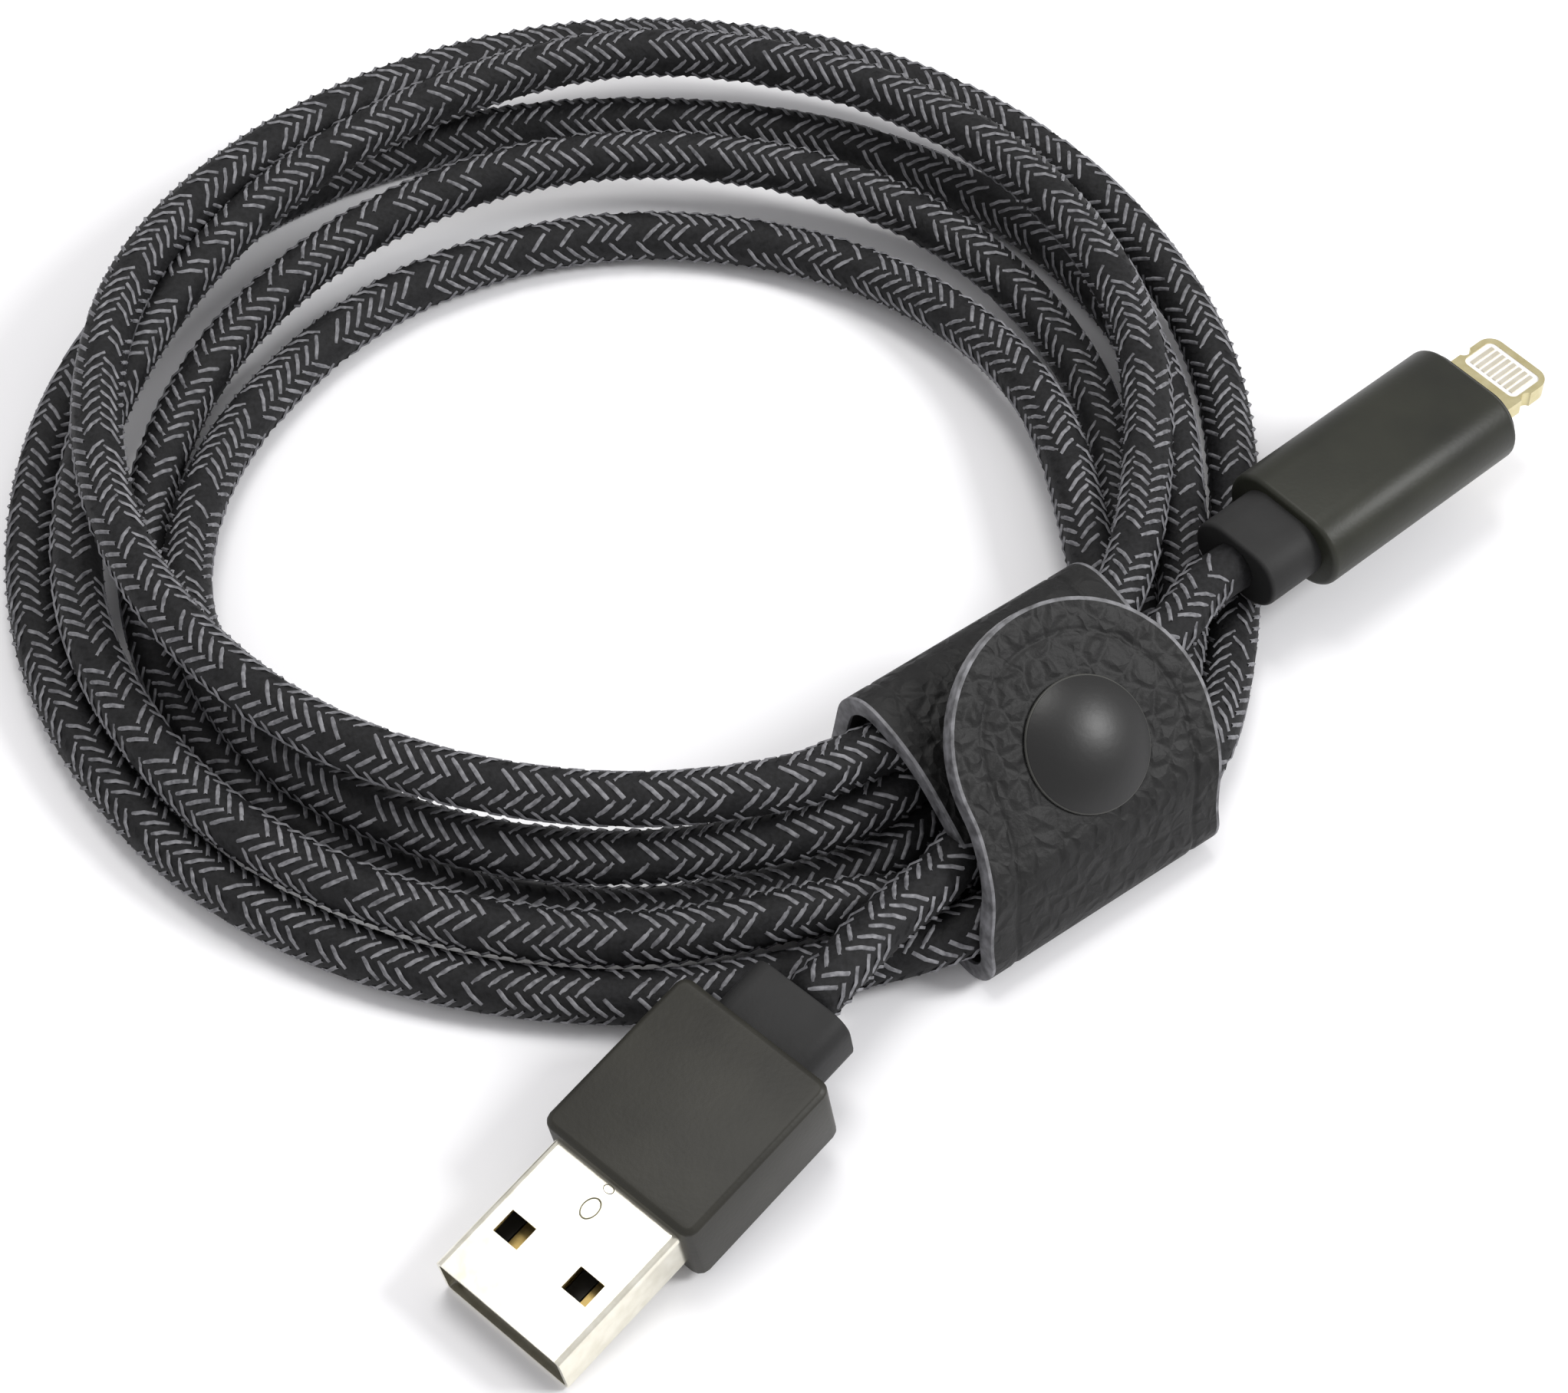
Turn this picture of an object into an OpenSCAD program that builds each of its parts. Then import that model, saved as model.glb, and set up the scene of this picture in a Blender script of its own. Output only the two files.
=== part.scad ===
// Braided charging cable, coiled and held by a leather strap with a snap.
// Millimetres, +Z up. The origin is the centre of the strap's underside.

/* [Cord] */
// outside diameter of the braided cord
cord_d = 4.35; // [3:0.05:5]
// outside radius of the coiled bundle
coil_out_r = 51.5; // [46:0.5:60]
// inside radius of the coiled bundle
coil_in_r = 32; // [26:0.5:38]
// height of the coiled bundle where it is piled highest
coil_h = 12.5; // [9:0.5:16]

/* [USB-A plug] */
// width of the USB-A metal shell
usb_w = 12; // [11.9:0.05:12.1]
// thickness of the USB-A metal shell
usb_t = 4.5; // [4.4:0.05:4.6]
// length of shell standing out of the housing
usb_out = 12; // [11.5:0.1:13]
// wall of the USB-A shell
usb_wall = 0.3; // [0.25:0.05:0.4]
// width of the USB-A housing
usb_body_w = 14.2; // [13.8:0.1:17]
// thickness of the USB-A housing
usb_body_t = 7.2; // [6.6:0.1:9]
// length of the USB-A housing
usb_body_l = 14.8; // [13:0.1:20]
// length of the strain relief behind it
usb_boot_l = 4.6; // [3.5:0.1:8]

/* [Small plug] */
// width of the flat metal tab
c_w = 6.7; // [6.6:0.05:6.8]
// thickness of the flat metal tab
c_t = 1.5; // [1.45:0.05:1.55]
// length of tab standing out of the body
c_out = 6.65; // [6.4:0.05:7]
// rim of metal round the contact window
c_wall = 0.55; // [0.5:0.05:0.7]
// width of the small plug's body
c_body_w = 11.7; // [11.2:0.1:13]
// thickness of the small plug's body
c_body_t = 6.9; // [6.4:0.1:8]
// length of the small plug's body
c_body_l = 20.8; // [19:0.1:26]
// length of the strain relief behind it
c_boot_l = 5.3; // [4:0.1:8]

/* [Strap] */
// width of the leather strap
strap_w = 22; // [18:0.5:26]
// thickness of the outer leather
hide_t = 0.8; // [0.6:0.1:1.2]
// thickness of the lining leather
lining_t = 0.6; // [0.4:0.1:1]
// flat length of the strap under the coil
strap_floor = 15; // [13:0.5:20]
// gap between the flap and the band at the fold
fold_gap = 0.3; // [0.2:0.05:0.5]

/* [Snap] */
// diameter of the snap's cap
cap_d = 10.25; // [8:0.25:11]
// how far the cap's dome stands proud
cap_h = 1.8; // [1.2:0.1:2.4]
// gap between the socket and the stud's flange when closed
snap_gap = 0.25; // [0.2:0.05:0.5]
// clearance round the stud's head inside the spring ring
head_clear = 0.35; // [0.3:0.05:0.6]

/* [Hidden] */
$fn = 64;
eps = 0.01;
cord_r = cord_d / 2;
// a larger coil lies further back from the strap, and its plugs further out
coil_grow = coil_out_r - 51.5;
coil_c = [-30.2, 32.3] + coil_grow * [-0.602, 0.799];

// placement of the two plugs
usb_at = [-37.6, -44.0, 0] - coil_grow * [0, 0.12, 0];
usb_yaw = 47.5;
usb_tilt = 9.5;
usb_zc = usb_t / 2;
usb_body_x = usb_out;
usb_boot_x = usb_out + usb_body_l;
usb_end_x = usb_boot_x + usb_boot_l;
usb_in = 7;
usb_mould_x = usb_out + usb_in;
usb_crimp_x = usb_boot_x - 3.4;
usb_back = 1.2;
usb_boot_w = 9;
usb_boot_t = 5.6;
usb_tongue_t = 1.9;

// the small plug's body rests just above the outer turn
tab_at = [36.5, 36.5, cord_d + 0.5 + c_body_t / 2] + coil_grow * [0.34, 0.29, 0];
tab_yaw = 220.6;
tab_tilt = 1;
c_boot_x = c_body_l;
c_end_x = c_body_l + c_boot_l;
c_in = 3;
c_corner = 1.3;
c_pad_l = 2.5;
c_pad_w = 0.36;
c_pad_t = 0.1;
c_pad_pitch = 0.6;
c_slot_w = 4.4;
c_slot_t = 0.7;
c_board_x0 = c_in;
c_board_l = 8;
c_board_w = 8.4;
c_board_t = 0.8;
c_mould_w = 9.8;
c_mould_t = 5.1;
c_mould_x = c_board_x0 + c_board_l;
c_back = 1.3;
c_crimp_x = c_boot_x - 4.2;
c_collar_x = 0.9;
c_boot_w = 8.6;
c_boot_t = 5.4;
crimp_wall = 0.35;
wire_r = 0.42;

// a point of a plug's own centre line, in the shared frame
function tilted(x, z, t) = [x * cos(t) - z * sin(t), x * sin(t) + z * cos(t)];
function placed(at, yaw, q) = [at[0] + q[0] * cos(yaw), at[1] + q[0] * sin(yaw), at[2] + q[1]];
function usb_pt(x, z) = placed(usb_at, usb_yaw, tilted(x, z, usb_tilt));
function tab_pt(x, z) = placed(tab_at, tab_yaw, tilted(x, z, -tab_tilt));

// the strap, drawn as a side profile: r runs outward from the coil, z up
strap_yaw = 37;
leather_t = hide_t + lining_t;
fold_r = 3.2;
fold_turn = 105;
fold_rise = 3.5;
flap_r = 6;
flap_turn = 35;
flap_flat = 4.5;
flap_head = fold_turn + flap_turn;
rear_r = 3.4;
rear_lean = 85;
top_r = 3.2;
top_head = -10;
crown_r = 14;
base_head = flap_head - 180;
base_reach = 3.9;
fold_x = 7.4 + strap_floor - 15;

function dir2(h) = [cos(h), sin(h)];
function left2(h) = [-sin(h), cos(h)];
function arc_c(p, h, r, turn) = p + r * sign(turn) * left2(h);
function arc_p(p, h, r, turn, a) = arc_c(p, h, r, turn) - r * sign(turn) * left2(h + a);
function arc_end(p, h, r, turn) = arc_p(p, h, r, turn, turn);

fold_p0 = [fold_x, 0];
fold_p1 = arc_end(fold_p0, 0, fold_r, fold_turn);
flap_p0 = fold_p1 + fold_gap * dir2(fold_turn);
flap_p1 = fold_p1 + fold_rise * dir2(fold_turn);
flap_p2 = arc_end(flap_p1, fold_turn, flap_r, flap_turn);
snap_p = flap_p2 + flap_flat * dir2(flap_head);
snap_n = [sin(flap_head), -cos(flap_head)];

// snap stack, measured down from the flap's outer face
socket_t = 1.7;
stud_flange_t = 0.4;
post_flange_t = 0.5;
post_flange_r = 2.2;
socket_z = -leather_t - socket_t;
stud_z = socket_z - snap_gap;
base_z = stud_z - stud_flange_t;
post_z = base_z - leather_t;

// the rear wall's height puts the base leather under the stud
rear_p0 = fold_p0 - [strap_floor, 0];
rear_p1 = arc_end(rear_p0, 180, rear_r, rear_lean - 180);
top_p_rel = arc_end([0, 0], rear_lean, top_r, top_head - rear_lean);
crown_rel = arc_end(top_p_rel, top_head, crown_r, base_head - top_head);
rear_rise = (base_z - (rear_p1 + crown_rel - snap_p) * snap_n) / (dir2(rear_lean) * snap_n);
top_p0 = rear_p1 + rear_rise * dir2(rear_lean);
top_p1 = top_p0 + top_p_rel;
base_p0 = top_p0 + crown_rel;
base_len = (snap_p - base_p0) * dir2(base_head) + base_reach;
base_p1 = base_p0 + base_len * dir2(base_head);

// the strap's middle wanders a little sideways as it goes round
w_fold = -1;
w_rear = 0.5;
w_snap = 1.5;

// stations: [r, z, inward r, inward z, middle w, half width]
strap_h = strap_w / 2;
function st(p, n, w, h = strap_h) = [p[0], p[1], n[0], n[1], w, h];
band_st = concat(
  [for (k = [0 : 12]) let (a = fold_turn * (1 - k / 12))
    st(arc_p(fold_p0, 0, fold_r, fold_turn, a), left2(a), w_fold)],
  [for (k = [0 : 12]) let (a = (rear_lean - 180) * k / 12)
    st(arc_p(rear_p0, 180, rear_r, rear_lean - 180, a), -left2(180 + a), w_rear)],
  [for (k = [0 : 12]) let (a = (top_head - rear_lean) * k / 12)
    st(arc_p(top_p0, rear_lean, top_r, top_head - rear_lean, a), -left2(rear_lean + a), w_rear + 0.5)],
  [for (k = [1 : 5]) let (a = (base_head - top_head) * k / 5)
    st(arc_p(top_p1, top_head, crown_r, base_head - top_head, a), -left2(top_head + a), w_rear + 0.5 + 0.1 * k)],
  [st(base_p1, -left2(base_head), w_snap)]
);
flap_st = concat(
  [for (a = [84 : -6 : 0])
    st(snap_p + strap_h * sin(a) * dir2(flap_head), left2(flap_head), w_snap, strap_h * cos(a))],
  [for (k = [0 : 5]) let (a = flap_turn * (1 - k / 5))
    st(arc_p(flap_p1, fold_turn, flap_r, flap_turn, a), left2(fold_turn + a), 0.6 - 0.22 * k)],
  [st(flap_p0, left2(fold_turn), w_fold)]
);

// hand-chosen points of the two free tails
usb_tail_in = [-7.0, -9.9, 7.2];
tab_tail_in = [8.6, 9.9, 8.4];
usb_exit = usb_pt(usb_end_x, usb_zc);
usb_dir = usb_pt(1, 0) - usb_pt(0, 0);
tab_exit = tab_pt(c_end_x, 0);
tab_dir = tab_pt(1, 0) - tab_pt(0, 0);
usb_route = [usb_exit, usb_exit + 3 * usb_dir, [-11.2, -14.4, 7.6], usb_tail_in];
tab_route = [tab_exit, tab_exit + 3 * tab_dir, [11.4, 12.7, 8.3], tab_tail_in];

// smooth path through points, and a round tube along it
function ends(r) = concat([2 * r[0] - r[1]], r, [2 * r[len(r) - 1] - r[len(r) - 2]]);
function mid(a, b, c, d, t) = 0.5 * (2 * b + (c - a) * t + (2 * a - 5 * b + 4 * c - d) * t * t
  + (3 * b - a - 3 * c + d) * t * t * t);
function smooth(r, n) = let (q = ends(r)) concat(
  [for (i = [0 : len(r) - 2]) for (k = [0 : n - 1]) mid(q[i], q[i + 1], q[i + 2], q[i + 3], k / n)],
  [r[len(r) - 1]]);
function unit(v) = v / norm(v);

module tube(pts, r, sides) {
  n = len(pts);
  d = [for (i = [0 : n - 1]) unit(pts[min(i + 1, n - 1)] - pts[max(i - 1, 0)])];
  s = [for (i = [0 : n - 1]) unit(cross(d[i], [0, 0, 1]))];
  ring = [for (i = [0 : n - 1]) for (k = [0 : sides - 1])
    pts[i] + r * (cos(360 * k / sides) * s[i] + sin(360 * k / sides) * cross(s[i], d[i]))];
  sidesf = [for (i = [0 : n - 2]) for (k = [0 : sides - 1]) let (j = (k + 1) % sides)
    for (f = [[i * sides + k, i * sides + j, (i + 1) * sides + j],
              [i * sides + k, (i + 1) * sides + j, (i + 1) * sides + k]]) f];
  polyhedron(points = ring, faces = concat(sidesf,
    [[for (k = [sides - 1 : -1 : 0]) k]],
    [[for (k = [0 : sides - 1]) (n - 1) * sides + k]]), convexity = 4);
}

module usb_place() {
  translate(usb_at)
    rotate([0, 0, usb_yaw])
      rotate([0, -usb_tilt, 0])
        children();
}

module tab_place() {
  translate(tab_at)
    rotate([0, 0, tab_yaw])
      rotate([0, tab_tilt, 0])
        children();
}

module strap_place() {
  rotate([0, 0, strap_yaw])
    children();
}

module snap_place() {
  strap_place()
    translate([w_snap, -snap_p[0], snap_p[1]])
      rotate([180 - flap_head, 0, 0])
        children();
}

// a bar along x with a given y-z section drawn in the x-y plane
module along(x0, x1) {
  translate([x0, 0, 0])
    rotate([90, 0, 90])
      linear_extrude(height = x1 - x0)
        children();
}

module rounded(w, t, r) {
  square([w - 2 * r, t], center = true);
  square([w, t - 2 * r], center = true);
  for (sx = [-1, 1])
    for (sy = [-1, 1])
      translate([sx * (w / 2 - r), sy * (t / 2 - r)])
        circle(r = r);
}

module stadium(w, t) {
  square([w - t, t], center = true);
  for (sx = [-1, 1])
    translate([sx * (w - t) / 2, 0])
      circle(d = t);
}

module chamfered(w, t, c) {
  polygon([[-w / 2 + c, -t / 2], [w / 2 - c, -t / 2], [w / 2, -t / 2 + c], [w / 2, t / 2 - c],
    [w / 2 - c, t / 2], [-w / 2 + c, t / 2], [-w / 2, t / 2 - c], [-w / 2, -t / 2 + c]]);
}

module rod(x0, x1, r, y, z) {
  translate([x0, y, z])
    rotate([0, 90, 0])
      cylinder(r = r, h = x1 - x0);
}

// ---- USB-A plug ----
module usb_shell() {
  color("#d9d7cc")
    usb_place()
      difference() {
        translate([0, 0, usb_zc])
          along(0, usb_mould_x)
            rounded(usb_w, usb_t, 0.6);
        translate([0, 0, usb_zc])
          along(-1, usb_mould_x + 1)
            rounded(usb_w - 2 * usb_wall, usb_t - 2 * usb_wall, 0.3);
        for (y = [-3.3, 3.3])
          translate([4.2, y - 1.15, -1])
            cube([2, 2.3, usb_t + 2]);
      }
}

module usb_tongue() {
  color("#2a2926")
    usb_place()
      difference() {
        translate([0.8, -usb_w / 2 + usb_wall + 0.3, usb_wall])
          cube([usb_mould_x - 0.8, usb_w - 2 * usb_wall - 0.6, usb_tongue_t]);
        for (y = [-3.5, -1, 1, 3.5])
          translate([1.8, y - 0.6, usb_wall + usb_tongue_t - 0.3])
            cube([usb_mould_x, 1.2, 1]);
      }
}

module usb_contacts() {
  color("#c9a24a")
    usb_place()
      for (y = [-3.5, -1, 1, 3.5])
        translate([2.2, y - 0.5, usb_wall + usb_tongue_t - 0.3])
          cube([usb_mould_x - 0.6, 1, 0.25]);
}

module usb_inner_mould() {
  color("#8e8c84")
    usb_place()
      difference() {
        translate([usb_mould_x, -usb_body_w / 2 + 1.6, usb_zc - usb_body_t / 2 + 1.2])
          cube([usb_boot_x - usb_back - usb_mould_x, usb_body_w - 3.2, usb_body_t - 2.4]);
        translate([usb_mould_x - 1, -4.3, usb_zc - 0.9])
          cube([usb_crimp_x - usb_mould_x + 1, 8.6, 1.8]);
        rod(usb_crimp_x - 0.2, usb_boot_x, cord_r + crimp_wall, 0, usb_zc);
      }
}

module usb_wires() {
  color("#b03a2e")
    usb_place()
      for (y = [-3.5, -1, 1, 3.5])
        rod(usb_mould_x + 0.2, usb_crimp_x - 0.2, wire_r, y, usb_wall + usb_tongue_t - 0.05 + wire_r);
}

module usb_crimp() {
  color("#b9b7b0")
    usb_place()
      difference() {
        rod(usb_crimp_x, usb_boot_x - usb_back, cord_r + crimp_wall, 0, usb_zc);
        rod(usb_crimp_x - 1, usb_boot_x + 1, cord_r, 0, usb_zc);
      }
}

module usb_housing() {
  color("#46453f")
    usb_place()
      difference() {
        intersection() {
          translate([0, 0, usb_zc])
            along(usb_body_x, usb_boot_x)
              chamfered(usb_body_w, usb_body_t, 1.1);
          translate([0, 0, -10])
            linear_extrude(height = 30)
              polygon([[usb_body_x, -usb_body_w / 2 + 1.2], [usb_body_x + 1.2, -usb_body_w / 2],
                [usb_boot_x - 1.2, -usb_body_w / 2], [usb_boot_x, -usb_body_w / 2 + 1.2],
                [usb_boot_x, usb_body_w / 2 - 1.2], [usb_boot_x - 1.2, usb_body_w / 2],
                [usb_body_x + 1.2, usb_body_w / 2], [usb_body_x, usb_body_w / 2 - 1.2]]);
        }
        translate([0, 0, usb_zc])
          along(usb_body_x - 1, usb_mould_x)
            rounded(usb_w, usb_t, 0.6);
        translate([usb_mould_x, -usb_body_w / 2 + 1.6, usb_zc - usb_body_t / 2 + 1.2])
          cube([usb_boot_x - usb_back - usb_mould_x, usb_body_w - 3.2, usb_body_t - 2.4]);
        rod(usb_crimp_x, usb_boot_x - usb_back, cord_r + crimp_wall, 0, usb_zc);
        rod(usb_boot_x - 3, usb_boot_x + 1, cord_r, 0, usb_zc);
      }
}

module usb_boot() {
  color("#3a3a39")
    usb_place()
      difference() {
        translate([0, 0, usb_zc])
          along(usb_boot_x, usb_end_x)
            rounded(usb_boot_w, usb_boot_t, 1.6);
        rod(usb_boot_x - 1, usb_end_x + 1, cord_r, 0, usb_zc);
      }
}

// ---- small plug: a flat tab with eight contacts on each face ----
// outline of the flat tab seen from above, with its round front corners
module tab_plan() {
  translate([-c_out + c_corner, -c_w / 2])
    square([c_out - c_corner + c_in, c_w]);
  translate([-c_out, -c_w / 2 + c_corner])
    square([c_corner, c_w - 2 * c_corner]);
  for (y = [-1, 1])
    translate([-c_out + c_corner, y * (c_w / 2 - c_corner)])
      circle(r = c_corner);
}

// the window in the tab's face that holds the contacts
module tab_window() {
  wide = c_w - 2 * c_wall;
  translate([-c_out + c_wall, -wide / 2 + 0.6])
    square([c_pad_l + 0.9, wide - 1.2]);
  translate([-c_out + c_wall + 0.6, -wide / 2])
    square([c_pad_l - 0.3, wide]);
  for (y = [-1, 1])
    for (x = [0.6, c_pad_l + 0.3])
      translate([-c_out + c_wall + x, y * (wide / 2 - 0.6)])
        circle(r = 0.6);
}

module tab_frame() {
  color("#d2cfc2")
    tab_place()
      difference() {
        translate([0, 0, -c_t / 2])
          linear_extrude(height = c_t)
            tab_plan();
        translate([0, 0, -c_t])
          linear_extrude(height = 2 * c_t)
            tab_window();
        translate([-c_out + c_wall + c_pad_l, -c_slot_w / 2, -c_slot_t / 2])
          cube([c_out + c_in, c_slot_w, c_slot_t]);
        for (y = [-1, 1])
          translate([-c_out + 3, y * (c_w / 2 + 0.2), -c_t])
            cylinder(r = 0.6, h = 2 * c_t);
      }
}

module tab_insulator() {
  color("#e6e4de")
    tab_place()
      union() {
        translate([0, 0, -c_t / 2 + c_pad_t])
          linear_extrude(height = c_t - 2 * c_pad_t)
            tab_window();
        translate([-c_out + c_wall + c_pad_l, -c_slot_w / 2, -c_slot_t / 2])
          cube([c_out + c_in - c_wall - c_pad_l, c_slot_w, c_slot_t]);
      }
}

module tab_contacts() {
  color("#c9a24a")
    tab_place()
      for (i = [-3.5 : 1 : 3.5])
        for (s = [0, 1])
          translate([-c_out + c_wall + 0.45, i * c_pad_pitch - c_pad_w / 2,
            s == 0 ? -c_t / 2 : c_t / 2 - c_pad_t])
            cube([c_pad_l, c_pad_w, c_pad_t]);
}

module tab_board() {
  color("#1f5a3a")
    tab_place()
      translate([c_board_x0, -c_board_w / 2, -c_board_t / 2])
        cube([c_board_l, c_board_w, c_board_t]);
}

module tab_chip() {
  color("#1c1c1e")
    tab_place()
      translate([c_board_x0 + 2.4, -1.5, c_board_t / 2])
        cube([2.4, 3, 0.7]);
}

module tab_inner_mould() {
  color("#8e8c84")
    tab_place()
      difference() {
        along(c_collar_x, c_mould_x + 2)
          stadium(c_mould_w, c_mould_t);
        along(0, c_in)
          square([c_w, c_t], center = true);
        translate([c_in, -c_board_w / 2 - 0.1, -1.4])
          cube([c_mould_x + 3 - c_in, c_board_w + 0.2, 2.8]);
      }
}

module tab_wires() {
  color("#b03a2e")
    tab_place()
      for (y = [-1.5, -0.5, 0.5, 1.5])
        rod(c_mould_x - 1.6, c_crimp_x - 0.2, wire_r, y, c_board_t / 2 + wire_r);
}

module tab_crimp() {
  color("#b9b7b0")
    tab_place()
      difference() {
        rod(c_crimp_x, c_boot_x - c_back, cord_r + crimp_wall, 0, 0);
        rod(c_crimp_x - 1, c_boot_x, cord_r, 0, 0);
      }
}

module tab_collar() {
  color("#17171a")
    tab_place()
      difference() {
        along(-0.35, c_collar_x)
          stadium(c_body_w - 1.3, c_body_t - 1.3);
        along(-1, c_collar_x + 1)
          square([c_w, c_t], center = true);
      }
}

module tab_housing() {
  color("#3b3c36")
    tab_place()
      difference() {
        along(0, c_boot_x)
          stadium(c_body_w, c_body_t);
        along(-1, c_collar_x)
          stadium(c_body_w - 1.3, c_body_t - 1.3);
        along(0, c_boot_x - c_back)
          stadium(c_mould_w, c_mould_t);
        rod(c_crimp_x, c_boot_x - c_back, cord_r + crimp_wall, 0, 0);
        rod(c_boot_x - 3, c_boot_x + 1, cord_r, 0, 0);
      }
}

module tab_boot() {
  color("#1d1d1e")
    tab_place()
      difference() {
        along(c_boot_x, c_end_x)
          stadium(c_boot_w, c_boot_t);
        rod(c_boot_x - 1, c_end_x + 1, cord_r, 0, 0);
      }
}

// ---- cord ----
module cord_coil() {
  color("#2a2a2c")
    union() {
      difference() {
        translate([coil_c[0], coil_c[1], 0])
          rotate_extrude($fn = 96)
            polygon([[coil_in_r + 2, 0], [coil_out_r, 0], [coil_out_r, cord_d],
              [coil_out_r - 5.3, cord_d + 0.15], [coil_out_r - 7, coil_h - 4],
              [coil_out_r - 9.5, coil_h], [coil_in_r + 4, coil_h],
              [coil_in_r, cord_d], [coil_in_r, 2]]);
        strap_place()
          translate([-strap_w / 2 - 2, -30, -1])
            cube([strap_w + 3.8, 60, 40]);
      }
      strap_place()
        translate([-strap_w / 2 - 2.6, 0, 0])
          rotate([90, 0, 90])
            linear_extrude(height = strap_w + 5.2)
              polygon([[8.2, 2.4], [7.6, leather_t + 0.3], [-7.2, leather_t + 0.3],
                [-7.8, 2.8], [-7.6, 4.6], [-3.4, 5.6], [1.6, 9.4], [4, 10.8],
                [7.8, 10.8], [8.6, 9]]);
    }
}

module usb_tail() {
  color("#2a2a2c")
    union() {
      tube(smooth(usb_route, 4), cord_r, 12);
      usb_place()
        rod(usb_crimp_x, usb_end_x, cord_r, 0, usb_zc);
    }
}

module tab_tail() {
  color("#2a2a2c")
    union() {
      tube(smooth(tab_route, 4), cord_r, 12);
      tab_place()
        rod(c_crimp_x, c_end_x, cord_r, 0, 0);
    }
}

// ---- strap ----
// a band of leather between two depths below the outer face
module leather(s, t0, t1) {
  n = len(s);
  pts = [for (i = [0 : n - 1]) for (q = [[t0, -1], [t0, 1], [t1, 1], [t1, -1]])
    [s[i][4] + q[1] * s[i][5], -(s[i][0] + s[i][2] * q[0]), s[i][1] + s[i][3] * q[0]]];
  sidef = [for (i = [0 : n - 2]) for (k = [0 : 3]) let (j = (k + 1) % 4)
    for (f = [[4 * i + k, 4 * i + j, 4 * i + 4 + j], [4 * i + k, 4 * i + 4 + j, 4 * i + 4 + k]]) f];
  polyhedron(points = pts, faces = concat(sidef, [[0, 3, 2, 1]],
    [[4 * n - 4, 4 * n - 3, 4 * n - 2, 4 * n - 1]]), convexity = 8);
}

module strap_band() {
  color("#333333")
    difference() {
      strap_place()
        leather(band_st, 0, hide_t);
      snap_place()
        translate([0, 0, post_z - 1])
          cylinder(r = 1.1, h = leather_t + 2);
    }
}

module strap_lining() {
  color("#3a3a3a")
    difference() {
      strap_place()
        leather(band_st, hide_t, leather_t);
      snap_place()
        translate([0, 0, post_z - 1])
          cylinder(r = 1.1, h = leather_t + 2);
    }
}

module strap_flap() {
  color("#333333")
    difference() {
      strap_place()
        leather(flap_st, 0, hide_t);
      snap_place()
        translate([0, 0, -leather_t - 1])
          cylinder(r = 1.2, h = leather_t + 2);
    }
}

module flap_lining() {
  color("#3a3a3a")
    difference() {
      strap_place()
        leather(flap_st, hide_t, leather_t);
      snap_place()
        translate([0, 0, -leather_t - 1])
          cylinder(r = 1.2, h = leather_t + 2);
    }
}

// ---- snap ----
head_r = 1.9 - head_clear;
module snap_cap() {
  color("#2c2c2b")
    snap_place()
      rotate_extrude()
        polygon(concat([[0, -leather_t - 0.5], [1.2, -leather_t - 0.5], [1.2, 0], [cap_d / 2 - 0.3, 0],
          [cap_d / 2, 0.3], [cap_d / 2, 0.6]],
          [for (a = [20 : 10 : 80]) [cap_d / 2 * cos(a), 0.6 + (cap_h - 0.6) * sin(a)]],
          [[0, cap_h]]));
}

module snap_socket() {
  color("#8f8d86")
    snap_place()
      difference() {
        union() {
          translate([0, 0, -leather_t - 0.5])
            cylinder(r = 3.8, h = 0.5);
          translate([0, 0, socket_z])
            cylinder(r = 3, h = socket_t);
        }
        translate([0, 0, -leather_t - 0.5])
          cylinder(r = 1.2, h = 1);
        translate([0, 0, socket_z - 1])
          cylinder(r = 2.3, h = socket_t - 0.5 + 1);
      }
}

module snap_spring() {
  color("#c9c7bd")
    snap_place()
      translate([0, 0, socket_z + 0.5])
        rotate_extrude()
          translate([2.08, 0])
            circle(r = 0.2, $fn = 16);
}

module snap_stud() {
  color("#8f8d86")
    snap_place()
      difference() {
        rotate_extrude()
          polygon([[0, base_z], [3.4, base_z], [3.4, stud_z], [head_r - 0.2, stud_z],
            [head_r, stud_z + 0.7], [head_r - 0.3, stud_z + 1.15], [0.5, stud_z + 1.3], [0, stud_z + 1.3]]);
        translate([0, 0, base_z - 1])
          cylinder(r = 1.1, h = 1.6);
      }
}

module snap_post() {
  color("#8f8d86")
    snap_place()
      union() {
        translate([0, 0, post_z - post_flange_t])
          cylinder(r = post_flange_r, h = post_flange_t);
        translate([0, 0, post_z - post_flange_t])
          cylinder(r = 1.1, h = leather_t + post_flange_t + 0.6);
      }
}

usb_shell();
usb_tongue();
usb_contacts();
usb_inner_mould();
usb_wires();
usb_crimp();
usb_housing();
usb_boot();
tab_frame();
tab_insulator();
tab_contacts();
tab_board();
tab_chip();
tab_inner_mould();
tab_wires();
tab_crimp();
tab_collar();
tab_housing();
tab_boot();
cord_coil();
usb_tail();
tab_tail();
strap_band();
strap_lining();
strap_flap();
flap_lining();
snap_cap();
snap_socket();
snap_spring();
snap_stud();
snap_post();
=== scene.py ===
from math import cos, hypot, pi, radians, sin

import bpy
import numpy as np
from mathutils import Matrix, Vector


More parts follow.
